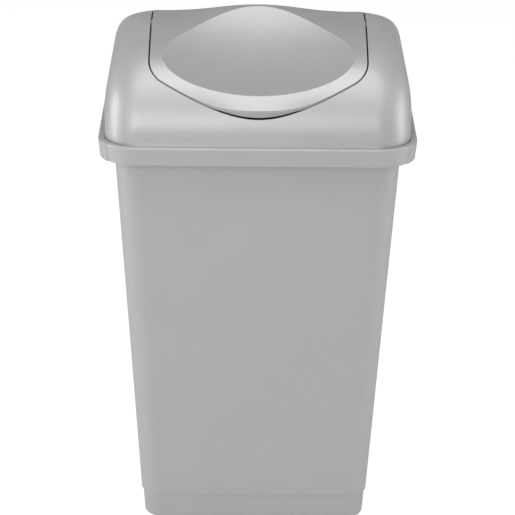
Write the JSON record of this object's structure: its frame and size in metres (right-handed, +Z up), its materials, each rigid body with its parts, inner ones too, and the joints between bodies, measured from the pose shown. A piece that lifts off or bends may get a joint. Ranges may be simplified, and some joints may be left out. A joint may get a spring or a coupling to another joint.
{
  "type": "swing-lid trash can",
  "caption": "Tall tapered rectangular trash can with a turned-down rim, a lift-off domed hood and a gravity-closing swing flap with pressed dishes.",
  "frame": {"origin": "middle of the footprint, on the floor that the foot ring stands on", "axes": "+Z up; the can's front faces -Y, +X to its right as seen from the front; the flap's pivot axis lies along X"},
  "size_m": [0.4054, 0.3394, 0.689],
  "materials": {
    "bucket_plastic": "satin metallic grey polypropylene, fine flake",
    "hood_plastic": "satin metallic grey polypropylene, fine flake",
    "flap_plastic": "satin metallic grey polypropylene with a polished dish"
  },
  "bodies": {
    "bucket": {"bin_body": "bucket_plastic"},
    "hood": {"hood": "hood_plastic"},
    "flap": {"swing_flap": "flap_plastic"}
  },
  "joints": [
    {"name": "hood_lift", "type": "slide", "parent": "bucket", "child": "hood", "axis": [0, 0, 1], "range_m": [0, 0.2]},
    {"name": "flap_swing", "type": "hinge", "parent": "hood", "child": "flap", "pos_m": [0, 0, 0.661], "axis": [1, 0, 0], "range_deg": [-85, 85]}
  ]
}
